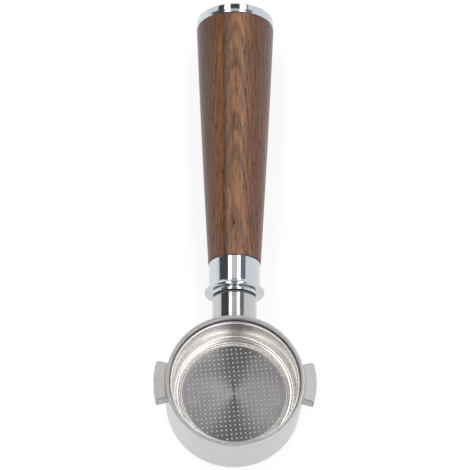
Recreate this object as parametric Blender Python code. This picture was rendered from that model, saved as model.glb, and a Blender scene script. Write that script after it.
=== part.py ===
"""Two-lug bottomless portafilter with a lift-out basket and a screw-on walnut handle.

Metres, +Z up. The origin is on the ring's axis in the plane of its rim, and the handle
runs along +Y. Turned handle pieces are measured by their station, the distance along +Y
from the ring's axis.
"""

import math

import bmesh
import bpy
from mathutils import Matrix, Vector
from mathutils.geometry import delaunay_2d_cdt

GAP = 0.0003  # room between pieces that touch

# Filter ring: an open turned ring with a seat for the basket's lip
RING_R = 0.0295
RING_FOOT_R = 0.0292
RING_H = 0.0295
RIM_CHAMFER = 0.0004
SEAT_R = 0.0280
SEAT_DEPTH = 0.0036
BORE_R = 0.0272
GROOVE_DEPTH = 0.0100
GROOVE_R = 0.0282
GROOVE_HALF = 0.0009

# Bayonet lugs
LUG_R = 0.0345
LUG_HALF_ANGLE = math.radians(15)
LUG_TOP = -0.0018
LUG_THICK = 0.0065
LUG_BEVEL = 0.0009
LUG_ARC_STEPS = 8

# Basket
LIP_TOP = -0.0025
LIP_R = 0.02765
WALL_T = 0.0005
WALL_TOP_R = 0.0265
WALL_FOOT_R = 0.0262
LEDGE_Z = -0.0163
LEDGE_R = 0.0235
LEDGE_DROP = 0.0006
LEDGE_W = 0.0010
WALL_CORNER_R = 0.0014
WALL_CORNER_Z = LEDGE_Z + 0.0018
LIP_FLARE = 0.0006
FLOOR_Z = -0.0173
FLOOR_R = 0.0212
HOLE_R = 0.0005
HOLE_PITCH = 0.0040
HOLE_SIDES = 6
HOLE_FIELD_R = 0.0203
HOLE_ROW_ANGLE = math.radians(6)

# Basket spring: a round wire ring, open at the back
WIRE_R = 0.00045
SPRING_R = 0.02745
SPRING_OPEN = math.radians(24)

# Handle axis, stations along +Y
AXIS_Z = -0.0145
NECK_R = 0.0097
NECK_START = 0.0240
NECK_END = 0.0424
STUD_R = 0.0050
STUD_START = 0.0330
STUD_END = 0.0620
THREAD_CHAMFER = 0.0008
WASHER_T = 0.0006
FERRULE_START = NECK_END + GAP + WASHER_T + GAP
FERRULE_END = 0.0590
FERRULE_WALL_END = 0.0476
FERRULE_CUP_R = 0.0096
HUB_R = 0.0099
FLANGE_R = 0.0132
FLANGE_STATION = 0.0455
FLANGE_HALF = 0.0009
COLLAR_R = 0.0111
COLLAR_END_R = 0.0113
COLLAR_FILLET = 0.0014
INSERT_END = 0.0750
INSERT_R = 0.0069
INSERT_HEAD_END = 0.0500
GRIP_START = FERRULE_END + GAP
GRIP_END = 0.1769
GRIP_START_R = 0.0116
GRIP_END_R = 0.0178
GRIP_BELLY = 0.0002
GRIP_ROWS = 8
SPIGOT_R = FERRULE_CUP_R - GAP
SPIGOT_SEAL_WIRE_R = 0.0004
SPIGOT_SEAL_STATION = 0.0560
CAP_START = GRIP_END + GAP
CAP_END = 0.1822
CAP_R = 0.0178
CAP_CHAMFER = 0.0009
CAP_INSERT_START = 0.1600
CAP_INSERT_END = 0.1740
CAP_INSERT_R = 0.0050
CAP_STUD_R = 0.0030
CAP_STUD_START = 0.1620
CAP_STUD_END = 0.1800
SEAL_R = 0.0120
SEAL_WIRE_R = 0.0008

RING_STEPS = 64
SPRING_STEPS = 48
HANDLE_STEPS = 40
SMALL_STEPS = 24

MATERIALS = {
    "satin_steel": ((0.62, 0.62, 0.63), 0.32, 1.0),
    "milled_steel": ((0.46, 0.46, 0.47), 0.45, 1.0),
    "basket_steel": ((0.55, 0.54, 0.53), 0.28, 1.0),
    "spring_steel": ((0.50, 0.50, 0.52), 0.30, 1.0),
    "chrome": ((0.80, 0.82, 0.85), 0.06, 1.0),
    "walnut": ((0.17, 0.075, 0.035), 0.30, 0.0),
    "brass": ((0.72, 0.52, 0.22), 0.28, 1.0),
    "zinc_steel": ((0.55, 0.56, 0.58), 0.35, 1.0),
    "fibre": ((0.10, 0.10, 0.11), 0.70, 0.0),
    "black_rubber": ((0.02, 0.02, 0.02), 0.60, 0.0),
}


def clear_scene():
    for obj in list(bpy.data.objects):
        bpy.data.objects.remove(obj, do_unlink=True)


def material(name):
    found = bpy.data.materials.get(name)
    if found:
        return found
    colour, roughness, metallic = MATERIALS[name]
    made = bpy.data.materials.new(name)
    made.use_nodes = True
    shader = made.node_tree.nodes["Principled BSDF"]
    shader.inputs["Base Color"].default_value = (*colour, 1.0)
    shader.inputs["Roughness"].default_value = roughness
    shader.inputs["Metallic"].default_value = metallic
    return made


def add_object(name, mesh, slot, parent=None, location=(0, 0, 0)):
    mesh.materials.append(material(slot))
    obj = bpy.data.objects.new(name, mesh)
    bpy.context.scene.collection.objects.link(obj)
    obj.parent = parent
    obj.location = location
    return obj


def finish_mesh(name, bm):
    """Turn a bmesh into a mesh with its faces out and its round sides smooth."""
    bmesh.ops.recalc_face_normals(bm, faces=bm.faces)
    mesh = bpy.data.meshes.new(name)
    bm.to_mesh(mesh)
    bm.free()
    mesh.shade_smooth()
    mesh.set_sharp_from_angle(angle=math.radians(35))
    return mesh


def arc(centre, radius, start, end, steps):
    """Points of a profile's round corner, as (radius, height), angles in degrees."""
    points = []
    for i in range(steps + 1):
        angle = math.radians(start + (end - start) * i / steps)
        points.append((centre[0] + radius * math.cos(angle),
                       centre[1] + radius * math.sin(angle)))
    return points


def spin_profile(bm, profile, steps, closed):
    """Spin (radius, height) points about Z; a closed profile makes a ring."""
    verts = [bm.verts.new((r, 0.0, z)) for r, z in profile]
    edges = [bm.edges.new(pair) for pair in zip(verts, verts[1:])]
    if closed:
        edges.append(bm.edges.new((verts[-1], verts[0])))
    bmesh.ops.spin(bm, geom=verts + edges, axis=(0, 0, 1), cent=(0, 0, 0),
                   angle=math.tau, steps=steps, use_merge=True)
    bmesh.ops.remove_doubles(bm, verts=bm.verts, dist=1e-6)


def turned(name, profile, slot, steps, parent=None, location=(0, 0, 0), closed=True):
    bm = bmesh.new()
    spin_profile(bm, profile, steps, closed)
    return add_object(name, finish_mesh(name, bm), slot, parent, location)


def handle_turned(name, profile, slot, steps, origin, origin_station, closed=True):
    """Turned handle piece, from (radius, station) points, riding on an axis empty."""
    local = [(r, station - origin_station) for r, station in profile]
    return turned(name, local, slot, steps, parent=origin, closed=closed)


def threaded_rod(radius, start, end):
    """Rod with both ends chamfered, as (radius, station) points from axis to axis."""
    return [
        (0.0, start),
        (radius - THREAD_CHAMFER, start),
        (radius, start + THREAD_CHAMFER),
        (radius, end - THREAD_CHAMFER),
        (radius - THREAD_CHAMFER, end),
        (0.0, end),
    ]


def axis_empty(name, station):
    """Empty on the handle's axis whose local +Z runs along the handle."""
    empty = bpy.data.objects.new(name, None)
    bpy.context.scene.collection.objects.link(empty)
    empty.location = (0, station, AXIS_Z)
    empty.rotation_euler = (-math.pi / 2, 0, 0)
    return empty


def cut(obj, cutter):
    """Cut a hidden guide's shape out of an object."""
    cutter.hide_render = True
    cutter.display_type = "WIRE"
    boolean = obj.modifiers.new("cut", "BOOLEAN")
    boolean.operation = "DIFFERENCE"
    boolean.object = cutter


def make_ring():
    groove_top = -GROOVE_DEPTH + GROOVE_HALF
    groove_foot = -GROOVE_DEPTH - GROOVE_HALF
    profile = [
        (SEAT_R, 0.0),
        (RING_R - RIM_CHAMFER, 0.0),
        (RING_R, -RIM_CHAMFER),
        (RING_FOOT_R, -RING_H + RIM_CHAMFER),
        (RING_FOOT_R - RIM_CHAMFER, -RING_H),
        (BORE_R + RIM_CHAMFER, -RING_H),
        (BORE_R, -RING_H + RIM_CHAMFER),
        (BORE_R, groove_foot),
        (GROOVE_R, groove_foot),
        (GROOVE_R, groove_top),
        (BORE_R, groove_top),
        (BORE_R, -SEAT_DEPTH),
        (SEAT_R, -SEAT_DEPTH),
    ]
    turned("filter_ring", profile, "satin_steel", RING_STEPS)


def make_lug(name, side):
    """Block between two arcs about the ring's axis; side is +1 for +X, -1 for -X."""
    inner_r = RING_R + GAP
    outline = []
    for radius, direction in ((LUG_R, 1), (inner_r, -1)):
        for i in range(LUG_ARC_STEPS + 1):
            angle = direction * LUG_HALF_ANGLE * (2 * i / LUG_ARC_STEPS - 1)
            outline.append((side * radius * math.cos(angle), radius * math.sin(angle)))
    bm = bmesh.new()
    face = bm.faces.new([bm.verts.new((x, y, LUG_TOP)) for x, y in outline])
    made = bmesh.ops.extrude_face_region(bm, geom=[face])
    sunk = [v for v in made["geom"] if isinstance(v, bmesh.types.BMVert)]
    bmesh.ops.translate(bm, verts=sunk, vec=(0, 0, -LUG_THICK))
    corners = [e for e in bm.edges if is_outer_corner(e)]
    bmesh.ops.bevel(bm, geom=corners, offset=LUG_BEVEL, segments=3, profile=0.5,
                    affect="EDGES")
    add_object(name, finish_mesh(name, bm), "milled_steel")


def is_outer_corner(edge):
    """True for a lug's two upright edges at the ends of its outer arc."""
    a, b = (v.co for v in edge.verts)
    upright = abs(a.z - b.z) > LUG_THICK / 2
    outer = a.xy.length > (LUG_R + RING_R) / 2
    corner_y = LUG_R * math.sin(LUG_HALF_ANGLE)
    last_step = corner_y / LUG_ARC_STEPS
    return upright and outer and abs(a.y) > corner_y - last_step / 2


def hole_centres():
    """Square grid of hole centres, turned a little and kept inside the field."""
    count = int(HOLE_FIELD_R / HOLE_PITCH) + 1
    turn = Matrix.Rotation(HOLE_ROW_ANGLE, 2)
    centres = []
    for i in range(-count, count + 1):
        for j in range(-count, count + 1):
            centre = turn @ Vector((i * HOLE_PITCH, j * HOLE_PITCH))
            if centre.length <= HOLE_FIELD_R:
                centres.append(centre)
    return centres


def circle_points(centre, radius, sides):
    points = []
    for i in range(sides):
        angle = math.tau * i / sides
        points.append(Vector((centre[0] + radius * math.cos(angle),
                              centre[1] + radius * math.sin(angle))))
    return points


def add_perforated_floor(bm, top_z, foot_z):
    """Flat disc with round holes; its outer edge is left open for the wall to join."""
    centres = hole_centres()
    points = circle_points((0, 0), FLOOR_R, RING_STEPS)
    loops = [list(range(RING_STEPS))]
    for centre in centres:
        first = len(points)
        points += circle_points(centre, HOLE_R, HOLE_SIDES)
        loops.append(list(range(first, len(points))))
    edges = [(a, b) for loop in loops for a, b in zip(loop, loop[1:] + loop[:1])]
    flat, _, faces, _, _, _ = delaunay_2d_cdt(points, edges, [], 1, 1e-7)
    layers = [[bm.verts.new((p.x, p.y, z)) for p in flat] for z in (top_z, foot_z)]
    for face in faces:
        middle = sum((flat[i] for i in face), Vector((0, 0))) / len(face)
        if all((middle - centre).length > HOLE_R * 0.8 for centre in centres):
            bm.faces.new([layers[0][i] for i in face])
            bm.faces.new([layers[1][i] for i in reversed(face)])
    for loop in loops[1:]:
        for a, b in zip(loop, loop[1:] + loop[:1]):
            bm.faces.new([layers[0][a], layers[0][b], layers[1][b], layers[1][a]])


def make_basket():
    """Pressed cup: rolled lip, wall, rounded corner, narrow ledge and sunk floor."""
    lip_foot = -SEAT_DEPTH + GAP
    lip_round = (LIP_TOP - lip_foot) / 2
    corner = (WALL_FOOT_R - WALL_CORNER_R, WALL_CORNER_Z)
    inside = [
        (FLOOR_R, FLOOR_Z),
        (LEDGE_R - LEDGE_DROP, LEDGE_Z - LEDGE_DROP),
        (LEDGE_R, LEDGE_Z),
        (LEDGE_R + LEDGE_W, LEDGE_Z),
    ]
    inside += arc(corner, WALL_CORNER_R, -70, 0, 3)
    inside += [(WALL_TOP_R, LIP_TOP - LIP_FLARE), (WALL_TOP_R + LIP_FLARE, LIP_TOP)]
    lip = arc((LIP_R - lip_round, LIP_TOP - lip_round), lip_round, 90, -90, 4)
    outside = [(WALL_TOP_R + WALL_T, lip_foot), (WALL_FOOT_R + WALL_T, WALL_CORNER_Z)]
    outside += arc(corner, WALL_CORNER_R + WALL_T, -20, -70, 2)
    outside += [(LEDGE_R, LEDGE_Z - WALL_T), (FLOOR_R, FLOOR_Z - WALL_T)]
    bm = bmesh.new()
    spin_profile(bm, inside + lip + outside, RING_STEPS, closed=False)
    add_perforated_floor(bm, FLOOR_Z, FLOOR_Z - WALL_T)
    bmesh.ops.remove_doubles(bm, verts=bm.verts, dist=1e-6)
    add_object("filter_basket", finish_mesh("filter_basket", bm), "basket_steel")


def make_basket_spring():
    """Open wire ring in the bore's groove, as a bevelled curve."""
    curve = bpy.data.curves.new("basket_spring", "CURVE")
    curve.dimensions = "3D"
    curve.bevel_depth = WIRE_R
    curve.bevel_resolution = 1
    curve.use_fill_caps = True
    spline = curve.splines.new("POLY")
    spline.points.add(SPRING_STEPS)
    start = math.pi / 2 + SPRING_OPEN / 2
    for i, point in enumerate(spline.points):
        angle = start + (math.tau - SPRING_OPEN) * i / SPRING_STEPS
        point.co = (SPRING_R * math.cos(angle), SPRING_R * math.sin(angle), 0, 1)
    curve.materials.append(material("spring_steel"))
    spring = bpy.data.objects.new("basket_spring", curve)
    bpy.context.scene.collection.objects.link(spring)
    spring.location = (0, 0, -GROOVE_DEPTH)


def make_neck(origin, origin_station):
    """Stem with a blind hole for the stud; its front end is saddled to the ring."""
    profile = [
        (0.0, NECK_START),
        (NECK_R, NECK_START),
        (NECK_R, NECK_END - RIM_CHAMFER),
        (NECK_R - RIM_CHAMFER, NECK_END),
        (STUD_R + GAP, NECK_END),
        (STUD_R + GAP, STUD_START - GAP),
        (0.0, STUD_START - GAP),
    ]
    neck = handle_turned("neck_stem", profile, "chrome", HANDLE_STEPS, origin,
                         origin_station, closed=False)
    cutter_r = RING_R + GAP
    saddle = [(0.0, 0.0), (cutter_r, 0.0), (cutter_r, -2 * RING_H), (0.0, -2 * RING_H)]
    cutter = turned("ring_saddle_cutter", saddle, "chrome", RING_STEPS,
                    location=(0, 0, RING_H / 2), closed=False)
    cut(neck, cutter)


def make_neck_stud(origin, origin_station):
    handle_turned("neck_stud", threaded_rod(STUD_R, STUD_START, STUD_END), "zinc_steel",
                  SMALL_STEPS, origin, origin_station, closed=False)


def make_face_washer(origin, origin_station):
    start = NECK_END + GAP
    inner_r = STUD_R + GAP
    outer_r = NECK_R - RIM_CHAMFER
    profile = [(inner_r, start), (outer_r, start),
               (outer_r, start + WASHER_T), (inner_r, start + WASHER_T)]
    handle_turned("face_washer", profile, "fibre", HANDLE_STEPS, origin, origin_station)


def make_ferrule(origin, origin_station):
    """Chromed collar with a thin flange at its front and a cup for the grip's spigot."""
    flange_front = FLANGE_STATION - FLANGE_HALF
    flange_back = FLANGE_STATION + FLANGE_HALF
    bore_r = STUD_R + GAP
    hub_fillet = flange_front - FERRULE_START
    profile = [(bore_r, FERRULE_START), (HUB_R, FERRULE_START)]
    profile += arc((HUB_R + hub_fillet, FERRULE_START), hub_fillet, 150, 90, 2)
    profile += arc((FLANGE_R - FLANGE_HALF, FLANGE_STATION), FLANGE_HALF, -90, 90, 6)
    profile += arc((COLLAR_R + COLLAR_FILLET, flange_back + COLLAR_FILLET),
                   COLLAR_FILLET, 270, 180, 4)
    profile += [
        (COLLAR_END_R, FERRULE_END),
        (FERRULE_CUP_R, FERRULE_END),
        (FERRULE_CUP_R, FERRULE_WALL_END),
        (bore_r, FERRULE_WALL_END),
    ]
    handle_turned("ferrule", profile, "chrome", HANDLE_STEPS, origin, origin_station)


def make_thread_insert(origin, origin_station):
    """Brass bush in the grip that takes the neck's stud, its head inside the ferrule."""
    start = FERRULE_WALL_END + GAP
    bore_r = STUD_R + GAP
    profile = [
        (bore_r, start),
        (SPIGOT_R, start),
        (SPIGOT_R, INSERT_HEAD_END),
        (INSERT_R, INSERT_HEAD_END),
        (INSERT_R, INSERT_END - THREAD_CHAMFER),
        (INSERT_R - THREAD_CHAMFER, INSERT_END),
        (bore_r, INSERT_END),
    ]
    handle_turned("thread_insert", profile, "brass", SMALL_STEPS, origin, origin_station)


def grip_radius(station):
    """Outer radius of the grip: a straight taper with a slight belly near its end."""
    along = (station - GRIP_START) / (GRIP_END - GRIP_START)
    belly = GRIP_BELLY * math.sin(math.pi * along)
    return GRIP_START_R + (GRIP_END_R - GRIP_START_R) * along + belly


def make_grip(origin, origin_station):
    spigot_start = INSERT_HEAD_END + GAP
    front_bore_r = INSERT_R + GAP
    rear_bore_r = CAP_INSERT_R + GAP
    groove_half = SPIGOT_SEAL_WIRE_R + GAP
    groove_r = SPIGOT_R - 2 * SPIGOT_SEAL_WIRE_R - GAP
    profile = [
        (front_bore_r, spigot_start),
        (SPIGOT_R, spigot_start),
        (SPIGOT_R, SPIGOT_SEAL_STATION - groove_half),
        (groove_r, SPIGOT_SEAL_STATION - groove_half),
        (groove_r, SPIGOT_SEAL_STATION + groove_half),
        (SPIGOT_R, SPIGOT_SEAL_STATION + groove_half),
        (SPIGOT_R, GRIP_START),
    ]
    for i in range(GRIP_ROWS + 1):
        station = GRIP_START + (GRIP_END - GRIP_START) * i / GRIP_ROWS
        profile.append((grip_radius(station), station))
    profile += [
        (rear_bore_r, GRIP_END),
        (rear_bore_r, CAP_INSERT_START - GAP),
        (CAP_STUD_R + GAP, CAP_INSERT_START - GAP),
        (CAP_STUD_R + GAP, INSERT_END + GAP),
        (front_bore_r, INSERT_END + GAP),
    ]
    handle_turned("grip", profile, "walnut", HANDLE_STEPS, origin, origin_station)


def make_spigot_seal(origin, origin_station):
    """Rubber ring in the spigot's groove that keeps water out of the ferrule."""
    centre = (SPIGOT_R - SPIGOT_SEAL_WIRE_R, SPIGOT_SEAL_STATION)
    profile = arc(centre, SPIGOT_SEAL_WIRE_R, 0, 300, 5)
    handle_turned("spigot_seal_ring", profile, "black_rubber", HANDLE_STEPS, origin,
                  origin_station)


def make_cap_insert(origin, origin_station):
    bore_r = CAP_STUD_R + GAP
    profile = [
        (bore_r, CAP_INSERT_START),
        (CAP_INSERT_R, CAP_INSERT_START),
        (CAP_INSERT_R, CAP_INSERT_END),
        (bore_r, CAP_INSERT_END),
    ]
    handle_turned("cap_insert", profile, "brass", SMALL_STEPS, origin, origin_station)


def make_cap_stud(origin, origin_station):
    handle_turned("cap_stud", threaded_rod(CAP_STUD_R, CAP_STUD_START, CAP_STUD_END),
                  "zinc_steel", SMALL_STEPS, origin, origin_station, closed=False)


def make_cap_seal(origin, origin_station):
    """Rubber ring in the cap's groove, a hair proud of the cap's inner face."""
    centre = (SEAL_R, CAP_START + SEAL_WIRE_R)
    profile = arc(centre, SEAL_WIRE_R, 0, 315, 7)
    handle_turned("cap_seal_ring", profile, "black_rubber", HANDLE_STEPS, origin,
                  origin_station)


def make_end_cap(origin, origin_station):
    """Chromed disc with a chamfered edge, a groove for the seal and a stud hole."""
    groove_half = SEAL_WIRE_R + GAP
    groove_floor = CAP_START + 2 * SEAL_WIRE_R + GAP
    hole_r = CAP_STUD_R + GAP
    hole_end = CAP_STUD_END + GAP
    profile = [
        (0.0, hole_end),
        (hole_r, hole_end),
        (hole_r, CAP_START),
        (SEAL_R - groove_half, CAP_START),
        (SEAL_R - groove_half, groove_floor),
        (SEAL_R + groove_half, groove_floor),
        (SEAL_R + groove_half, CAP_START),
        (CAP_R, CAP_START),
        (CAP_R, CAP_END - CAP_CHAMFER),
        (CAP_R - CAP_CHAMFER, CAP_END),
        (0.0, CAP_END),
    ]
    handle_turned("end_cap", profile, "chrome", HANDLE_STEPS, origin, origin_station,
                  closed=False)


def main():
    clear_scene()
    make_ring()
    make_lug("lug_right", 1)
    make_lug("lug_left", -1)
    make_basket()
    make_basket_spring()

    neck_axis = axis_empty("neck_axis", NECK_START)
    make_neck(neck_axis, NECK_START)
    make_neck_stud(neck_axis, NECK_START)

    handle_axis = axis_empty("handle_axis", FERRULE_START)
    make_face_washer(handle_axis, FERRULE_START)
    make_ferrule(handle_axis, FERRULE_START)
    make_thread_insert(handle_axis, FERRULE_START)
    make_grip(handle_axis, FERRULE_START)
    make_spigot_seal(handle_axis, FERRULE_START)
    make_cap_insert(handle_axis, FERRULE_START)
    make_cap_stud(handle_axis, FERRULE_START)
    make_cap_seal(handle_axis, FERRULE_START)
    make_end_cap(handle_axis, FERRULE_START)


main()
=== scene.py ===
import math

import bmesh
import bpy
from mathutils import Matrix, Vector
from mathutils.geometry import delaunay_2d_cdt


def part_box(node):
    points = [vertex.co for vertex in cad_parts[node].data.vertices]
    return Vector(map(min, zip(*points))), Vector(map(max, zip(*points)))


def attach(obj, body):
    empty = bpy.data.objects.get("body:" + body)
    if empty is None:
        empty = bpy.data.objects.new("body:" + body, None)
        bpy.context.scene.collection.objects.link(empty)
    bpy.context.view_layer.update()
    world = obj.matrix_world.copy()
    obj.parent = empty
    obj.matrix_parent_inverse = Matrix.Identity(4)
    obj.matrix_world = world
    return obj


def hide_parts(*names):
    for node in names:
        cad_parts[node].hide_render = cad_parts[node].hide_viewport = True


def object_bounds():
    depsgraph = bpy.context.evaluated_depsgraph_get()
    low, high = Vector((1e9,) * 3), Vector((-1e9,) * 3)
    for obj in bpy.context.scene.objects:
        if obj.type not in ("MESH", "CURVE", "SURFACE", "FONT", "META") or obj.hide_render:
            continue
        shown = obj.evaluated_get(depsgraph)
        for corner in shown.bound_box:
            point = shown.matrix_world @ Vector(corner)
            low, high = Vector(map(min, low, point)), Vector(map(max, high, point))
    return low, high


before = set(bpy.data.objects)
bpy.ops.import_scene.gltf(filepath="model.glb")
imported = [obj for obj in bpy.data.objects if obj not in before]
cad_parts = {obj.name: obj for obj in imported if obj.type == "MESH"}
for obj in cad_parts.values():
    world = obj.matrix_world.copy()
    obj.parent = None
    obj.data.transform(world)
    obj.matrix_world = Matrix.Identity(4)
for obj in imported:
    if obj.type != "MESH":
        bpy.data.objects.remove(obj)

# The looks of the portafilter. Metres, +Z up; the origin is on the ring's axis in the plane
# of its rim, and the handle runs along +Y. Stations are distances along +Y from that axis.

CAD_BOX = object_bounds()
GAP = 0.0003

# Filter ring
RING_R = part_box("filter_ring")[1].x
RING_FOOT_R = RING_R - 0.0003
RING_FOOT_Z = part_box("filter_ring")[0].z
SEAT_R = 0.0280
SEAT_Z = -0.0036
BORE_R = 0.0272
GROOVE_Z = -0.0100
GROOVE_R = 0.0282
GROOVE_HALF = 0.0009
RIM_ROUND = 0.00045
TURNED_EDGE = 0.00015
RING_STEPS = 256

# Lugs
LUG_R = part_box("lug_right")[1].x
LUG_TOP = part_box("lug_right")[1].z
LUG_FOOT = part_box("lug_right")[0].z
LUG_ROOT_R = RING_R - 0.0004
LUG_HALF_ANGLE = math.radians(15)
LUG_FAR_CORNER = 0.0013
LUG_NEAR_CORNER = 0.0006
LUG_EDGE = 0.00025
LUG_FILLET = 0.0005
LUG_ROOT_FLAT = 0.0004
LUG_STEPS = 24
LUG_CORNER_STEPS = 6

# Basket
FULL_ROUND = 0.98
LIP_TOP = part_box("filter_basket")[1].z
LIP_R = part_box("filter_basket")[1].x
WALL_T = 0.0005
WALL_TOP_R = 0.0265
WALL_FOOT_R = 0.0262
LEDGE_Z = -0.0163
LEDGE_R = 0.0235
BEAD_R = 0.0247
BEAD_H = 0.0002
BEAD_HALF = 0.0006
FLOOR_BEND = 0.0008
FLOOR_Z = -0.0173
FLOOR_R = 0.0216
FLOOR_SKIN = 0.00005
HOLE_R = 0.00028
HOLE_MOUTH_R = 0.00045
HOLE_MOUTH_DEPTH = 0.00014
HOLE_PITCH = 0.00201
HOLE_SIDES = 10
HOLE_FIELD_R = 0.0209
HOLE_ROW_ANGLE = math.radians(6.3)

# Basket spring
WIRE_R = 0.00045
SPRING_R = 0.02745
SPRING_OPEN = math.radians(24)
SPRING_STEPS = 120
WIRE_SIDES = 12
WIRE_DOME_STEPS = 3

# Handle
AXIS_Z = (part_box("end_cap")[0].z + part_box("end_cap")[1].z) / 2
NECK_R = 0.0097
NECK_ROOT_R = 0.0285
NECK_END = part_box("neck_stem")[1].y
SADDLE_REACH = 0.0009
# Bead where the stem meets the ring: (flare past the stem's radius, place along the bead)
SADDLE = ((0.0, 0.0), (0.0006, 0.0009), (0.00025, 0.0013), (0.00008, 0.0017), (0.0, 0.0024))
STUD_R = 0.0050
STUD_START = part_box("neck_stud")[0].y
STUD_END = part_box("neck_stud")[1].y
THREAD_PITCH = 0.0015
THREAD_DEPTH = 0.0008
THREAD_SIDES = 48
ROWS_PER_PITCH = 12
FERRULE_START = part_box("ferrule")[0].y
FERRULE_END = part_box("ferrule")[1].y
FERRULE_WALL_END = 0.0476
FERRULE_CUP_R = 0.0096
HUB_R = 0.0099
FLANGE_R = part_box("ferrule")[1].x
FLANGE_STATION = 0.0455
FLANGE_HALF = 0.0009
COLLAR_R = 0.0111
COLLAR_END_R = 0.0113
COLLAR_FILLET = 0.0014
INSERT_R = 0.0069
INSERT_HEAD_END = 0.0500
INSERT_END = 0.0750
GRIP_START = FERRULE_END + GAP
GRIP_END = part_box("grip")[1].y
GRIP_START_R = 0.0116
GRIP_END_R = 0.0178
GRIP_BELLY = 0.0002
GRIP_SOFT = 0.00035
GRIP_ROWS = 48
SPIGOT_R = 0.0093
SPIGOT_SEAL_STATION = 0.0560
SPIGOT_GROOVE_HALF = 0.0007
SPIGOT_GROOVE_R = 0.0082
CAP_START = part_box("end_cap")[0].y
CAP_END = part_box("end_cap")[1].y
CAP_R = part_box("end_cap")[1].x
CAP_CHAMFER = 0.0009
CAP_STUD_R = 0.0030
CAP_STUD_END = 0.1800
CAP_INSERT_R = 0.0050
CAP_INSERT_START = 0.1600
SEAL_R = 0.0120
SEAL_GROOVE_HALF = 0.0011
SEAL_GROOVE_DEPTH = 0.0019
HANDLE_STEPS = 160

FLOOR_LEVEL = CAD_BOX[0].z - 0.0002


# ---------------------------------------------------------------- node helpers

class Finish:
    """A material under construction. Calls return output sockets, so they can be nested."""

    def __init__(self, name, metallic, roughness):
        self.material = bpy.data.materials.new(name)
        self.material.use_nodes = True
        self.tree = self.material.node_tree
        self.shader = self.tree.nodes["Principled BSDF"]
        self.set("Metallic", metallic)
        self.set("Roughness", roughness)

    def set(self, socket, value):
        connect(self.tree, self.shader.inputs[socket], value)

    def node(self, kind, inputs, output=0, **settings):
        return add_node(self.tree, kind, inputs, output, **settings)

    def position(self):
        """Place on the piece in the row frame: it stays with the piece in every pose."""
        return self.node("ShaderNodeTexCoord", {}, "Object")

    def split(self, vector):
        made = self.tree.nodes.new("ShaderNodeSeparateXYZ")
        self.tree.links.new(vector, made.inputs[0])
        return made.outputs

    def stretch(self, vector, factors):
        return self.node("ShaderNodeVectorMath", {0: vector, 1: factors}, operation="MULTIPLY")

    def math(self, operation, a, b=0.0, c=0.0):
        return self.node("ShaderNodeMath", {0: a, 1: b, 2: c}, operation=operation)

    def noise(self, vector, scale, detail=2.0, roughness=0.5):
        inputs = {"Vector": vector, "Scale": scale, "Detail": detail, "Roughness": roughness}
        return self.node("ShaderNodeTexNoise", inputs)

    def lines(self, along, scale, detail=2.0):
        """Noise that only changes with one coordinate, for turned or drawn lines."""
        inputs = {"W": along, "Scale": scale, "Detail": detail}
        return self.node("ShaderNodeTexNoise", inputs, noise_dimensions="1D")

    def remap(self, value, low, high, to_low, to_high, smooth=False):
        kind = "SMOOTHSTEP" if smooth else "LINEAR"
        inputs = {"Value": value, "From Min": low, "From Max": high,
                  "To Min": to_low, "To Max": to_high}
        return self.node("ShaderNodeMapRange", inputs, interpolation_type=kind)

    def ramp(self, value, stops):
        return add_ramp(self.tree, value, stops)

    def mix(self, factor, a, b):
        return mix_colours(self.tree, factor, a, b)

    def radius(self, x, y):
        return self.math("SQRT", self.math("ADD", self.math("MULTIPLY", x, x),
                                           self.math("MULTIPLY", y, y)))

    def bump(self, height, distance, strength=1.0):
        inputs = {"Height": height, "Distance": distance, "Strength": strength}
        self.set("Normal", self.node("ShaderNodeBump", inputs))


def connect(tree, socket, value):
    """Link a socket to another, or set its value."""
    if isinstance(value, bpy.types.NodeSocket):
        tree.links.new(value, socket)
    elif isinstance(value, tuple) and len(value) == 3 and socket.type == "RGBA":
        socket.default_value = (*value, 1.0)
    else:
        socket.default_value = value


def add_node(tree, kind, inputs, output=0, **settings):
    made = tree.nodes.new(kind)
    for name, value in settings.items():
        setattr(made, name, value)
    for key, value in inputs.items():
        connect(tree, made.inputs[key], value)
    return made.outputs[output]


def mix_colours(tree, factor, a, b):
    return add_node(tree, "ShaderNodeMix", {0: factor, 6: a, 7: b}, 2, data_type="RGBA")


def add_ramp(tree, value, stops):
    """Colour ramp from (position, colour) stops, a colour being grey or red, green, blue."""
    made = tree.nodes.new("ShaderNodeValToRGB")
    elements = made.color_ramp.elements
    while len(elements) < len(stops):
        elements.new(0.5)
    for element, (position, colour) in zip(elements, stops):
        element.position = position
        rgb = colour if isinstance(colour, tuple) else (colour,) * 3
        element.color = (*rgb, 1.0)
    connect(tree, made.inputs[0], value)
    return made.outputs[0]


# ------------------------------------------------------------------- materials

def ring_steel():
    """Steel turned on a lathe: fine rings round Z, soft patches and faint wear."""
    colour = (0.54, 0.53, 0.53)
    f = Finish("ring_steel", 1.0, 0.30)
    x, y, z = f.split(f.position())
    across = f.math("SUBTRACT", f.radius(x, y), z)
    fine = f.lines(across, 9000.0, 1.0)
    broad = f.lines(across, 1100.0, 3.0)
    patches = f.noise(f.position(), 70.0, 3.0)
    rings = f.math("ADD", f.math("MULTIPLY", fine, 0.6), f.math("MULTIPLY", broad, 0.4))
    dark = tuple(c * 0.90 for c in colour)
    f.set("Base Color", f.mix(f.math("MULTIPLY", rings, patches), colour, dark))
    spread = f.math("MULTIPLY_ADD", rings, 0.10, 0.22)
    f.set("Roughness", f.math("MULTIPLY_ADD", patches, 0.08, spread))
    f.bump(rings, 0.000004)
    return f.material


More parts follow.
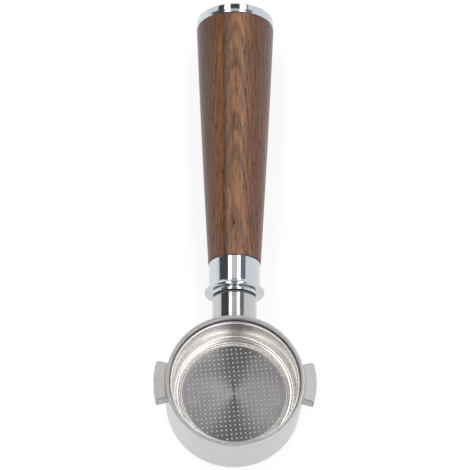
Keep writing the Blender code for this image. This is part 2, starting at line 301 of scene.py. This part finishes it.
def lug_steel():
    """Matt milled steel with fine upright cutter streaks and a dull film."""
    f = Finish("lug_steel", 1.0, 0.45)
    x, y, _ = f.split(f.position())
    around = f.math("ARCTAN2", y, f.math("ABSOLUTE", x))
    cutter = f.lines(around, 160.0, 4.0)
    film = f.noise(f.position(), 260.0, 4.0, 0.6)
    streaks = f.math("MULTIPLY_ADD", cutter, 0.7, f.math("MULTIPLY", film, 0.3))
    f.set("Base Color", f.ramp(streaks, [(0.3, (0.35, 0.34, 0.335)), (0.7, (0.54, 0.53, 0.52))]))
    f.set("Roughness", f.remap(film, 0.3, 0.7, 0.36, 0.55))
    f.bump(streaks, 0.00004)
    return f.material


def mirror_metal(name, colour):
    """Bright plate over turned steel: near mirror, with faint polishing lines and smears."""
    f = Finish(name, 1.0, 0.06)
    _, y, _ = f.split(f.position())
    f.set("Base Color", colour)
    polish = f.lines(y, 5200.0, 2.0)
    smears = f.noise(f.stretch(f.position(), (1.0, 2.5, 1.0)), 90.0, 4.0, 0.6)
    f.set("Roughness", f.math("MULTIPLY_ADD", smears, 0.09, 0.015))
    f.bump(f.math("MULTIPLY_ADD", smears, 0.5, polish), 0.0000012)
    return f.material


def basket_wall_steel():
    """Drawn, polished sheet with faint upright drawing lines."""
    f = Finish("basket_wall_steel", 1.0, 0.2)
    x, y, _ = f.split(f.position())
    drawn = f.lines(f.math("ARCTAN2", y, x), 60.0, 3.0)
    wear = f.noise(f.position(), 120.0, 3.0)
    f.set("Base Color", f.mix(wear, (0.78, 0.755, 0.725), (0.70, 0.675, 0.65)))
    f.set("Roughness", f.math("MULTIPLY_ADD", drawn, 0.04, 0.21))
    f.bump(wear, 0.000004)
    return f.material


def shaded_basket_floor_steel():
    """Turned floor: fine rings that pull every highlight out into a star. Its steel is painted
    much darker than the wall's, as painted shade at the bottom of the basket.
    """
    f = Finish("shaded_basket_floor_steel", 1.0, 0.3)
    x, y, _ = f.split(f.position())
    turned = f.lines(f.radius(x, y), 3000.0, 3.0)
    stains = f.noise(f.position(), 90.0, 4.0, 0.6)
    tone = f.math("MULTIPLY_ADD", turned, 0.6, f.math("MULTIPLY", stains, 0.4))
    # Painted shade: the floor gets a dark copy of the basket's steel, for the shade at the
    # bottom of the basket; within it the tone follows the turned rings and stains
    f.set("Base Color", f.mix(tone, (0.20, 0.19, 0.20), (0.38, 0.37, 0.385)))
    f.set("Roughness", f.math("MULTIPLY_ADD", stains, 0.16, 0.22))
    f.bump(turned, 0.000003)
    f.shader.inputs["Anisotropic"].default_value = 0.8
    f.shader.inputs["Anisotropic Rotation"].default_value = 0.25
    f.set("Tangent", f.node("ShaderNodeTangent", {}, direction_type="RADIAL", axis="Z"))
    return f.material


def bright_metal(name, colour, roughness):
    """Plated or drawn small part: slight tone patches and uneven gloss."""
    f = Finish(name, 1.0, roughness)
    patches = f.noise(f.position(), 700.0, 4.0, 0.6)
    dark = tuple(c * 0.75 for c in colour)
    f.set("Base Color", f.mix(patches, dark, colour))
    f.set("Roughness", f.remap(patches, 0.3, 0.7, roughness - 0.08, roughness + 0.1))
    f.bump(patches, 0.00001)
    return f.material


def matt_solid(name, colour, roughness, grain):
    """Rubber or fibre: a fine pitted surface with slight tone changes."""
    f = Finish(name, 0.0, roughness)
    pits = f.noise(f.position(), grain, 5.0, 0.65)
    pale = tuple(min(1.0, c * 1.8 + 0.01) for c in colour)
    f.set("Base Color", f.mix(f.remap(pits, 0.45, 0.8, 0.0, 1.0), colour, pale))
    f.set("Roughness", f.remap(pits, 0.3, 0.7, roughness - 0.1, roughness + 0.08))
    f.bump(pits, 0.00003)
    return f.material


def walnut():
    """Lacquered walnut: broad streaks and an arched figure along Y, fibres and pores."""
    f = Finish("walnut", 0.0, 0.3)
    place = f.position()
    x, y, z = f.split(place)

    # Grain runs along Y and wanders a little sideways
    wander = f.noise(f.stretch(place, (18.0, 11.0, 18.0)), 1.0, 2.0)
    drift = f.math("MULTIPLY_ADD", wander, 0.0050, -0.0025)
    side = f.math("ADD", x, drift)

    # Broad streaks across X
    streaks = f.ramp(f.remap(side, -0.018, 0.018, 0.0, 1.0), [
        (0.00, (0.100, 0.055, 0.036)),
        (0.14, (0.130, 0.062, 0.032)),
        (0.25, (0.210, 0.090, 0.034)),
        (0.32, (0.270, 0.115, 0.040)),
        (0.36, (0.110, 0.042, 0.022)),
        (0.41, (0.230, 0.110, 0.052)),
        (0.48, (0.340, 0.168, 0.082)),
        (0.60, (0.330, 0.160, 0.078)),
        (0.68, (0.240, 0.112, 0.056)),
        (0.76, (0.150, 0.066, 0.034)),
        (0.88, (0.180, 0.088, 0.048)),
        (1.00, (0.130, 0.078, 0.054)),
    ])

    # Arched figure: growth rings that the top of the handle cuts at a slant
    bow = f.math("MULTIPLY_ADD", f.math("MULTIPLY", side, side), 900.0, y)
    rings = f.lines(f.math("ADD", bow, f.math("MULTIPLY", z, 1.6)), 62.0, 1.0)
    arch = f.remap(rings, 0.42, 0.62, 0.0, 1.0, smooth=True)
    figure = f.mix(f.math("MULTIPLY", arch, 0.55), streaks, (0.075, 0.040, 0.034))

    # Long fibres, finer hairs and short dark pores
    fibres = f.noise(f.stretch(place, (900.0, 22.0, 900.0)), 1.0, 4.0, 0.6)
    hairs = f.noise(f.stretch(place, (3200.0, 60.0, 3200.0)), 1.0, 2.0, 0.5)
    toned = f.mix(f.remap(fibres, 0.35, 0.65, 0.0, 0.55), figure, (0.055, 0.028, 0.022))
    lit = f.mix(f.remap(hairs, 0.5, 0.72, 0.0, 0.35), toned, (0.28, 0.17, 0.11))
    pores = f.noise(f.stretch(place, (2300.0, 170.0, 2300.0)), 1.0, 1.0, 0.4)
    pits = f.remap(pores, 0.62, 0.70, 0.0, 1.0)
    f.set("Base Color", f.mix(f.math("MULTIPLY", pits, 0.75), lit, (0.022, 0.012, 0.010)))

    f.set("Roughness", f.math("MULTIPLY_ADD", fibres, 0.16, 0.26))
    f.shader.inputs["Specular IOR Level"].default_value = 0.15
    f.shader.inputs["Coat Weight"].default_value = 0.15
    f.shader.inputs["Coat Roughness"].default_value = 0.12
    depth = f.math("SUBTRACT", f.math("MULTIPLY", fibres, 0.4), pits)
    f.bump(depth, 0.00005, 0.6)
    return f.material


def pale_floor():
    """Plain white light table. It glows so that shadows stay faint, and glows more on the left:
    a painted pool of light.
    """
    f = Finish("pale_floor", 0.0, 0.9)
    tone = f.noise(f.position(), 3.0, 2.0)
    f.set("Base Color", f.mix(tone, (0.24, 0.24, 0.24), (0.27, 0.27, 0.27)))
    f.shader.inputs["Specular IOR Level"].default_value = 0.0
    x, _, _ = f.split(f.position())
    # Painted light: the glow is stronger towards -X, a painted pool of light on the left of the
    # floor
    f.set("Emission Color", f.mix(f.remap(x, 0.03, -0.08, 0.0, 1.0, smooth=True),
                                  (0.76, 0.76, 0.76), (0.84, 0.85, 0.87)))
    f.shader.inputs["Emission Strength"].default_value = 1.0
    return f.material


# ----------------------------------------------------------------- mesh helpers

def about_ring(radius, height, angle):
    return (radius * math.cos(angle), radius * math.sin(angle), height)


def about_handle(radius, station, angle):
    """Angle from straight up, towards +X."""
    return (radius * math.sin(angle), station, AXIS_Z + radius * math.cos(angle))


def rounded(corners, closed=True):
    """Profile from (radius, height, corner rounding) points, its corners made into arcs."""
    points = []
    last = len(corners) - 1
    for i, (r, z, rounding) in enumerate(corners):
        here = Vector((r, z))
        if rounding == 0 or (not closed and i in (0, last)):
            points.append(here)
            continue
        back = (Vector(corners[i - 1][:2]) - here).normalized()
        ahead = (Vector(corners[(i + 1) % len(corners)][:2]) - here).normalized()
        half = back.angle(ahead) / 2
        centre = here + (back + ahead).normalized() * (rounding / math.sin(half))
        start = here + back * (rounding / math.tan(half)) - centre
        end = here + ahead * (rounding / math.tan(half)) - centre
        first = math.atan2(start.y, start.x)
        sweep = math.remainder(math.atan2(end.y, end.x) - first, math.tau)
        steps = max(3, math.ceil(abs(sweep) / math.radians(12)))
        for k in range(steps + 1):
            angle = first + sweep * k / steps
            points.append(centre + rounding * Vector((math.cos(angle), math.sin(angle))))
    return points


def bridge(bm, row, other):
    """Faces between two closed rows of vertices; a row of one vertex is a pole."""
    count = max(len(row), len(other))
    for k in range(count):
        nxt = (k + 1) % count
        corners = [row[k % len(row)], row[nxt % len(row)],
                   other[nxt % len(other)], other[k % len(other)]]
        bm.faces.new(list(dict.fromkeys(corners)))


def spin(profile, place, steps, closed=True):
    """Turn a profile about an axis; place() gives the point at a radius, height and angle."""
    bm = bmesh.new()
    rows = []
    for radius, height in profile:
        count = steps if radius > 1e-7 else 1
        rows.append([bm.verts.new(place(radius, height, math.tau * k / count))
                     for k in range(count)])
    for row, other in zip(rows, rows[1:]):
        bridge(bm, row, other)
    if closed:
        bridge(bm, rows[-1], rows[0])
    return bm


def add_piece(name, bm, finish, body, stands_for, sharp=30):
    """Make a piece of the object from a bmesh, attach it to its body and hide the CAD part it
    stands for.
    """
    bmesh.ops.recalc_face_normals(bm, faces=bm.faces)
    mesh = bpy.data.meshes.new(name)
    bm.to_mesh(mesh)
    bm.free()
    mesh.shade_smooth()
    mesh.set_sharp_from_angle(angle=math.radians(sharp))
    mesh.materials.append(finish)
    obj = bpy.data.objects.new(name, mesh)
    bpy.context.scene.collection.objects.link(obj)
    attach(obj, body)
    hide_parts(stands_for)
    return obj


# ------------------------------------------------------------------------ pieces

def make_ring():
    corners = [
        (SEAT_R, 0.0, TURNED_EDGE),
        (RING_R, 0.0, RIM_ROUND),
        (RING_FOOT_R, RING_FOOT_Z, RIM_ROUND),
        (BORE_R, RING_FOOT_Z, RIM_ROUND),
        (BORE_R, GROOVE_Z - GROOVE_HALF, TURNED_EDGE),
        (GROOVE_R, GROOVE_Z - GROOVE_HALF, TURNED_EDGE),
        (GROOVE_R, GROOVE_Z + GROOVE_HALF, TURNED_EDGE),
        (BORE_R, GROOVE_Z + GROOVE_HALF, TURNED_EDGE),
        (BORE_R, SEAT_Z, TURNED_EDGE),
        (SEAT_R, SEAT_Z, TURNED_EDGE),
    ]
    bm = spin(rounded(corners), about_ring, RING_STEPS)
    add_piece("ring_shell", bm, ring_steel(), "ring_body", "filter_ring")


def lug_section(outer_r, inset):
    """Cross-section of a lug as (radius, height), drawn in at its ends by inset."""
    top, foot = LUG_TOP - inset, LUG_FOOT + inset
    root_r = LUG_ROOT_R + LUG_FILLET + LUG_ROOT_FLAT
    corners = [
        (LUG_ROOT_R, top + LUG_FILLET, 0.0),
        (root_r, top, LUG_FILLET),
        (outer_r - inset, top, LUG_EDGE),
        (outer_r - inset, foot, LUG_EDGE),
        (root_r, foot, LUG_FILLET),
        (LUG_ROOT_R, foot - LUG_FILLET, 0.0),
    ]
    return rounded(corners, closed=False)


def lug_stations():
    """(angle, outer radius, inset) along a lug, with rounded upright corners and ends."""
    stations = []
    arc_steps = LUG_CORNER_STEPS
    for end, corner in ((-1, LUG_NEAR_CORNER), (1, LUG_FAR_CORNER)):
        side = []
        for k in range(arc_steps + 1):
            turn = math.pi / 2 * k / arc_steps
            back = corner * (1 - math.sin(turn)) / LUG_R
            outer_r = LUG_R - corner * (1 - math.cos(turn))
            side.append((end * (LUG_HALF_ANGLE - back), outer_r, 0.0))
        for k in range(1, arc_steps // 2 + 1):
            turn = math.pi * k / arc_steps
            angle = LUG_HALF_ANGLE + LUG_EDGE * (math.sin(turn) - 1) / LUG_R
            side.append((end * angle, side[arc_steps][1], LUG_EDGE * (1 - math.cos(turn))))
        side[arc_steps] = (end * (LUG_HALF_ANGLE - LUG_EDGE / LUG_R), side[arc_steps][1], 0.0)
        stations.append(side)
    start, end = stations[0][0][0], stations[1][0][0]
    middle = [(start + (end - start) * k / LUG_STEPS, LUG_R, 0.0) for k in range(1, LUG_STEPS)]
    return list(reversed(stations[0])) + middle + stations[1]


def make_lug(name, side):
    bm = bmesh.new()
    rows = []
    for angle, outer_r, inset in lug_stations():
        row = []
        for radius, height in lug_section(outer_r, inset):
            x, y, z = about_ring(radius, height, angle)
            row.append(bm.verts.new((side * x, y, z)))
        rows.append(row)
    for row, other in zip(rows, rows[1:]):
        for k in range(len(row) - 1):
            bm.faces.new([row[k], row[k + 1], other[k + 1], other[k]])
        bm.faces.new([row[-1], row[0], other[0], other[-1]])
    bm.faces.new(rows[0])
    bm.faces.new(rows[-1])
    add_piece(name + "_block", bm, LUG_STEEL, "ring_body", name)


def hole_centres():
    count = int(HOLE_FIELD_R / HOLE_PITCH) + 1
    turn = Matrix.Rotation(HOLE_ROW_ANGLE, 2)
    span = range(-count, count + 1)
    grid = [turn @ Vector(((i + 0.5) * HOLE_PITCH, j * HOLE_PITCH)) for i in span for j in span]
    return [centre for centre in grid if centre.length <= HOLE_FIELD_R]


def circle(centre, radius, sides):
    angles = [math.tau * k / sides for k in range(sides)]
    return [Vector((centre[0] + radius * math.cos(a), centre[1] + radius * math.sin(a)))
            for a in angles]


def add_perforated_floor(bm):
    """The basket's floor disc: a top and a foot layer with a wall in each hole."""
    centres = hole_centres()
    points = circle((0, 0), FLOOR_R, RING_STEPS)
    loops = [list(range(RING_STEPS))]
    for centre in centres:
        loops.append(list(range(len(points), len(points) + HOLE_SIDES)))
        points += circle(centre, HOLE_MOUTH_R, HOLE_SIDES)
    edges = [(a, b) for loop in loops for a, b in zip(loop, loop[1:] + loop[:1])]
    flat, _, faces, _, _, _ = delaunay_2d_cdt(points, edges, [], 1, 1e-8)
    top = [bm.verts.new((p.x, p.y, FLOOR_Z)) for p in flat]
    foot = [bm.verts.new((p.x, p.y, FLOOR_Z - WALL_T)) for p in flat]
    hole_of = {v: n for n, loop in enumerate(loops[1:]) for v in loop}
    for face in faces:
        owners = {hole_of.get(v) for v in face}
        if len(owners) == 1 and None not in owners:
            continue
        bm.faces.new([top[i] for i in face])
        bm.faces.new([foot[i] for i in reversed(face)])
    for centre, loop in zip(centres, loops[1:]):
        waists = []
        for z in (FLOOR_Z - HOLE_MOUTH_DEPTH, FLOOR_Z - WALL_T + HOLE_MOUTH_DEPTH):
            waists.append([bm.verts.new((*p, z)) for p in circle(centre, HOLE_R, HOLE_SIDES)])
        rows = [[top[i] for i in loop], *waists, [foot[i] for i in loop]]
        for row, other in zip(rows, rows[1:]):
            bridge(bm, row, other)


def make_basket():
    lip_foot = SEAT_Z + GAP
    lip_half = (LIP_TOP - lip_foot) / 2
    corners = [
        (FLOOR_R, FLOOR_Z, 0.0),
        (FLOOR_R + FLOOR_BEND, FLOOR_Z, 0.0007),
        (LEDGE_R - 0.0004, LEDGE_Z, 0.0004),
        (BEAD_R - BEAD_HALF, LEDGE_Z, 0.0002),
        (BEAD_R, LEDGE_Z + BEAD_H, 0.0004),
        (BEAD_R + BEAD_HALF, LEDGE_Z - BEAD_H, 0.0003),
        (WALL_FOOT_R, LEDGE_Z, 0.0009),
        (WALL_TOP_R, LIP_TOP, 0.0006),
        (LIP_R, LIP_TOP, lip_half * FULL_ROUND),
        (LIP_R, lip_foot, lip_half * FULL_ROUND),
        (WALL_TOP_R + WALL_T, lip_foot, 0.0002),
        (WALL_FOOT_R + WALL_T, LEDGE_Z - WALL_T, 0.0014),
        (FLOOR_R + FLOOR_BEND, LEDGE_Z - WALL_T, 0.0004),
        (FLOOR_R, FLOOR_Z - WALL_T, 0.0),
    ]
    bm = spin(rounded(corners, closed=False), about_ring, RING_STEPS, closed=False)
    add_perforated_floor(bm)
    bmesh.ops.remove_doubles(bm, verts=bm.verts, dist=1e-6)
    bm.faces.ensure_lookup_table()
    for face in bm.faces:
        middle = face.calc_center_median()
        if middle.z < FLOOR_Z + FLOOR_SKIN and middle.xy.length < FLOOR_R:
            face.material_index = 1
    basket = add_piece("basket_shell", bm, basket_wall_steel(), "basket_body",
                       "filter_basket")
    basket.data.materials.append(shaded_basket_floor_steel())


def make_spring():
    """Round wire bent into an open ring, with domed ends."""
    bm = bmesh.new()
    start = math.pi / 2 + SPRING_OPEN / 2
    rows = []
    for i in range(-WIRE_DOME_STEPS, SPRING_STEPS + WIRE_DOME_STEPS + 1):
        past = max(0, -i, i - SPRING_STEPS)
        bend = math.pi / 2 * past / WIRE_DOME_STEPS
        wire = WIRE_R * math.cos(bend)
        inner = min(max(i, 0), SPRING_STEPS)
        angle = start + (math.tau - SPRING_OPEN) * inner / SPRING_STEPS
        angle += math.copysign(math.sin(bend) * WIRE_R / SPRING_R, i)
        count = WIRE_SIDES if past < WIRE_DOME_STEPS else 1
        row = []
        for k in range(count):
            turn = math.tau * k / WIRE_SIDES
            row.append(bm.verts.new(about_ring(SPRING_R + wire * math.cos(turn),
                                               GROOVE_Z + wire * math.sin(turn), angle)))
        rows.append(row)
    for row, other in zip(rows, rows[1:]):
        bridge(bm, row, other)
    finish = bright_metal("spring_steel", (0.58, 0.58, 0.60), 0.26)
    add_piece("spring_wire", bm, finish, "ring_body", "basket_spring")


def make_neck():
    """Stem whose front end follows the ring's wall and whose back end has a blind hole."""
    edge = 0.0003
    hole_r = STUD_R + GAP
    hole_end = STUD_START - GAP
    profile = rounded([
        (NECK_R, 0.0, 0.0),
        (NECK_R, NECK_END, edge),
        (hole_r, NECK_END, edge),
        (hole_r, hole_end, 0.0),
        (0.0, hole_end, 0.0),
    ], closed=False)[1:]
    bm = bmesh.new()
    saddles = []
    for flare, reach in SADDLE:
        wall = RING_R if reach else NECK_ROOT_R
        row = []
        for k in range(HANDLE_STEPS):
            x, _, z = about_handle(NECK_R + flare, 0.0, math.tau * k / HANDLE_STEPS)
            y = math.sqrt(wall ** 2 - x ** 2) + max(0.0, reach - SADDLE_REACH)
            row.append(bm.verts.new((x, y, z)))
        saddles.append(row)
    for row, other in zip(saddles, saddles[1:]):
        bridge(bm, row, other)
    front = bm.verts.new((0.0, NECK_ROOT_R, AXIS_Z))
    bridge(bm, [front], saddles[0])
    rows = []
    for radius, station in profile:
        count = HANDLE_STEPS if radius > 1e-7 else 1
        rows.append([bm.verts.new(about_handle(radius, station, math.tau * k / HANDLE_STEPS))
                     for k in range(count)])
    for row, other in zip([saddles[-1]] + rows, rows):
        bridge(bm, row, other)
    finish = mirror_metal("neck_chrome", (0.53, 0.515, 0.50))
    add_piece("neck_tube", bm, finish, "ring_body", "neck_stem")


def make_stud():
    """Stud with a real screw thread along its free end."""
    bm = bmesh.new()
    count = round((STUD_END - STUD_START) / THREAD_PITCH * ROWS_PER_PITCH)
    rows = []
    for i in range(count + 1):
        station = STUD_START + (STUD_END - STUD_START) * i / count
        end_room = min(station - STUD_START, STUD_END - station)
        limit = STUD_R - max(0.0, THREAD_DEPTH - end_room)
        row = []
        for k in range(THREAD_SIDES):
            turn = math.tau * k / THREAD_SIDES
            phase = (station / THREAD_PITCH - k / THREAD_SIDES) % 1.0
            groove = min(1.0, max(0.0, 1.6 - abs(phase - 0.5) * 4.0))
            radius = min(limit, STUD_R - THREAD_DEPTH * groove)
            row.append(bm.verts.new(about_handle(radius, station, turn)))
        rows.append(row)
    for row, other in zip(rows, rows[1:]):
        bridge(bm, row, other)
    for row, station in ((rows[0], STUD_START), (rows[-1], STUD_END)):
        bridge(bm, row, [bm.verts.new(about_handle(0.0, station, 0.0))])
    finish = bright_metal("stud_steel", (0.60, 0.61, 0.64), 0.30)
    add_piece("stud_thread", bm, finish, "ring_body", "neck_stud", sharp=50)


def make_washer():
    lo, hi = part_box("face_washer")
    edge = 0.0001
    corners = [
        (STUD_R + GAP, lo.y, edge),
        (hi.x, lo.y, edge),
        (hi.x, hi.y, edge),
        (STUD_R + GAP, hi.y, edge),
    ]
    finish = matt_solid("washer_fibre", (0.10, 0.10, 0.11), 0.65, 2600.0)
    bm = spin(rounded(corners), about_handle, HANDLE_STEPS)
    add_piece("washer_disc", bm, finish, "washer_body", "face_washer")


def make_ferrule():
    """Collar with a thin rounded flange, hollow fillets and a cup for the grip."""
    edge = 0.00025
    bore_r = STUD_R + GAP
    flange_front = FLANGE_STATION - FLANGE_HALF
    flange_back = FLANGE_STATION + FLANGE_HALF
    rim = FLANGE_HALF * FULL_ROUND
    corners = [
        (bore_r, FERRULE_START, edge),
        (HUB_R, FERRULE_START, edge),
        (HUB_R + 0.0002, flange_front, 0.0005),
        (FLANGE_R, flange_front, rim),
        (FLANGE_R, flange_back, rim),
        (COLLAR_R, flange_back, COLLAR_FILLET),
        (COLLAR_END_R, FERRULE_END, 0.0002),
        (FERRULE_CUP_R, FERRULE_END, 0.0001),
        (FERRULE_CUP_R, FERRULE_WALL_END, 0.0),
        (bore_r, FERRULE_WALL_END, 0.0),
    ]
    bm = spin(rounded(corners), about_handle, HANDLE_STEPS)
    add_piece("ferrule_collar", bm, CHROME, "handle_body", "ferrule")


def grip_radius(station):
    along = (station - GRIP_START) / (GRIP_END - GRIP_START)
    belly = GRIP_BELLY * math.sin(math.pi * along)
    return GRIP_START_R + (GRIP_END_R - GRIP_START_R) * along + belly


def make_grip():
    """Tapered walnut, its ends softened, with the spigot and bores of the CAD grip."""
    seal_front = SPIGOT_SEAL_STATION - SPIGOT_GROOVE_HALF
    seal_back = SPIGOT_SEAL_STATION + SPIGOT_GROOVE_HALF
    front_bore_r = INSERT_R + GAP
    rear_bore_r = CAP_INSERT_R + GAP
    stud_bore_r = CAP_STUD_R + GAP
    corners = [
        (front_bore_r, INSERT_HEAD_END + GAP, 0.0),
        (SPIGOT_R, INSERT_HEAD_END + GAP, 0.0002),
        (SPIGOT_R, seal_front, 0.0),
        (SPIGOT_GROOVE_R, seal_front, 0.0),
        (SPIGOT_GROOVE_R, seal_back, 0.0),
        (SPIGOT_R, seal_back, 0.0),
        (SPIGOT_R, GRIP_START, 0.0),
        (GRIP_START_R, GRIP_START, GRIP_SOFT),
    ]
    for i in range(1, GRIP_ROWS):
        station = GRIP_START + (GRIP_END - GRIP_START) * i / GRIP_ROWS
        corners.append((grip_radius(station), station, 0.0))
    corners += [
        (GRIP_END_R, GRIP_END, GRIP_SOFT),
        (rear_bore_r, GRIP_END, 0.0),
        (rear_bore_r, CAP_INSERT_START - GAP, 0.0),
        (stud_bore_r, CAP_INSERT_START - GAP, 0.0),
        (stud_bore_r, INSERT_END + GAP, 0.0),
        (front_bore_r, INSERT_END + GAP, 0.0),
    ]
    bm = spin(rounded(corners), about_handle, HANDLE_STEPS)
    add_piece("grip_wood", bm, walnut(), "handle_body", "grip")


def make_end_cap():
    hole_r = CAP_STUD_R + GAP
    hole_end = CAP_STUD_END + GAP
    groove_end = CAP_START + SEAL_GROOVE_DEPTH
    corners = [
        (0.0, hole_end, 0.0),
        (hole_r, hole_end, 0.0),
        (hole_r, CAP_START, 0.0002),
        (SEAL_R - SEAL_GROOVE_HALF, CAP_START, 0.0),
        (SEAL_R - SEAL_GROOVE_HALF, groove_end, 0.0),
        (SEAL_R + SEAL_GROOVE_HALF, groove_end, 0.0),
        (SEAL_R + SEAL_GROOVE_HALF, CAP_START, 0.0),
        (CAP_R, CAP_START, 0.0003),
        (CAP_R, CAP_END - CAP_CHAMFER, 0.0004),
        (CAP_R - CAP_CHAMFER, CAP_END, 0.0006),
        (0.0, CAP_END, 0.0),
    ]
    bm = spin(rounded(corners, closed=False), about_handle, HANDLE_STEPS, closed=False)
    add_piece("cap_disc", bm, CHROME, "handle_body", "end_cap")


def refinish_hidden_nodes():
    """Better materials for the CAD nodes that stay: they sit inside the handle."""
    brass = bright_metal("insert_brass", (0.72, 0.52, 0.22), 0.30)
    zinc = bright_metal("cap_stud_steel", (0.55, 0.56, 0.58), 0.34)
    rubber = matt_solid("black_rubber", (0.020, 0.020, 0.021), 0.60, 1800.0)
    finishes = {
        "thread_insert": brass,
        "cap_insert": brass,
        "cap_stud": zinc,
        "spigot_seal_ring": rubber,
        "cap_seal_ring": rubber,
    }
    for name, finish in finishes.items():
        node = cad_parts[name]
        for material_slot in node.material_slots:
            material_slot.material = finish


# ------------------------------------------------------------------------- stage

def make_floor():
    bm = bmesh.new()
    bmesh.ops.create_circle(bm, cap_ends=True, segments=96, radius=3.0,
                            matrix=Matrix.Translation((0, 0.05, FLOOR_LEVEL)))
    mesh = bpy.data.meshes.new("stage_floor")
    bm.to_mesh(mesh)
    bm.free()
    mesh.materials.append(pale_floor())
    floor = bpy.data.objects.new("stage_floor", mesh)
    bpy.context.scene.collection.objects.link(floor)


def make_studio():
    """White studio round the object: two long overhead strip lights between dark flags.

    The strips and flags run along the handle. Their edges are angles about +Y, from straight
    up towards +X, in degrees. What lies between the strips changes along +Y: dim near the
    camera, grey overhead and dark beyond.
    """
    world = bpy.data.worlds.new("studio")
    bpy.context.scene.world = world
    world.use_nodes = True
    tree = world.node_tree
    background = tree.nodes["Background"]

    direction = add_node(tree, "ShaderNodeTexCoord", {}, "Generated")
    parts = tree.nodes.new("ShaderNodeSeparateXYZ")
    tree.links.new(direction, parts.inputs[0])
    x, y, z = parts.outputs
    around = add_node(tree, "ShaderNodeMath", {0: x, 1: z}, operation="ARCTAN2")
    position = add_node(tree, "ShaderNodeMapRange",
                        {"Value": around, "From Min": -math.pi, "From Max": math.pi})

    def at(degrees):
        return 0.5 + degrees / 360

    pale = (0.32, 0.335, 0.35)
    grey = (0.29, 0.29, 0.29)
    dim = (0.09, 0.09, 0.09)
    strip = (1.0, 1.0, 1.0)
    left_flag = (0.030, 0.030, 0.033)
    right_flag = (0.075, 0.075, 0.080)
    soft = 1.2

    def banded(bands):
        stops = []
        for degrees, before, after in bands:
            stops.append((at(degrees - soft), before))
            stops.append((at(degrees + soft), after))
        return add_ramp(tree, position, stops)

    close = banded([(-68, pale, left_flag), (-33, left_flag, strip), (-16, strip, dim),
                    (12, dim, strip), (31, strip, right_flag), (46, right_flag, pale)])
    overhead = banded([(-76, pale, left_flag), (-30, left_flag, strip), (-16, strip, grey),
                       (12, grey, strip), (25, strip, right_flag), (50, right_flag, pale)])
    beyond = banded([(-54, pale, left_flag), (-34, left_flag, strip), (-17, strip, left_flag),
                     (13, left_flag, strip), (32, strip, right_flag), (38, right_flag, pale)])
    close_share = add_node(tree, "ShaderNodeMapRange",
                           {"Value": y, "From Min": 0.445, "From Max": 0.40})
    beyond_share = add_node(tree, "ShaderNodeMapRange",
                            {"Value": y, "From Min": 0.478, "From Max": 0.482})
    front = mix_colours(tree, close_share, overhead, close)
    bands = mix_colours(tree, beyond_share, front, beyond)

    # The strips end short of the horizon, and a little shorter beyond the handle
    high = add_node(tree, "ShaderNodeMapRange",
                    {"Value": z, "From Min": 0.12, "From Max": 0.22})
    within = add_node(tree, "ShaderNodeMapRange",
                      {"Value": y, "From Min": 0.90, "From Max": 0.80})
    gate = add_node(tree, "ShaderNodeMath", {0: high, 1: within}, operation="MULTIPLY")
    colour = mix_colours(tree, gate, pale, bands)
    connect(tree, background.inputs["Color"], colour)
    background.inputs["Strength"].default_value = 3.0


def make_camera():
    """Camera looking steeply down over the ring's near side, along the handle."""
    azimuth = math.radians(-3.8)
    elevation = math.radians(65.8)
    roll = math.radians(4.3)
    distance = 0.8429
    aim = Vector((-0.0010, 0.0557, 0.0249))
    back = Vector((math.sin(azimuth) * math.cos(elevation),
                   -math.cos(azimuth) * math.cos(elevation), math.sin(elevation)))
    level = Vector((math.cos(azimuth), math.sin(azimuth), 0.0))
    up = back.cross(level)
    right = level * math.cos(roll) + up * math.sin(roll)
    top = up * math.cos(roll) - level * math.sin(roll)
    data = bpy.data.cameras.new("photo_camera")
    data.sensor_width = 36.0
    data.lens = 153.16
    data.clip_start = 0.01
    camera = bpy.data.objects.new("photo_camera", data)
    bpy.context.scene.collection.objects.link(camera)
    turn = Matrix((right, top, back)).transposed()
    camera.matrix_world = Matrix.Translation(aim + back * distance) @ turn.to_4x4()
    bpy.context.scene.camera = camera


LUG_STEEL = lug_steel()
CHROME = mirror_metal("chrome", (0.575, 0.595, 0.62))

make_ring()
make_lug("lug_right", 1)
make_lug("lug_left", -1)
make_basket()
make_spring()
make_neck()
make_stud()
make_washer()
make_ferrule()
make_grip()
make_end_cap()
refinish_hidden_nodes()
make_floor()
make_studio()
make_camera()
bpy.context.scene.view_settings.view_transform = "Standard"
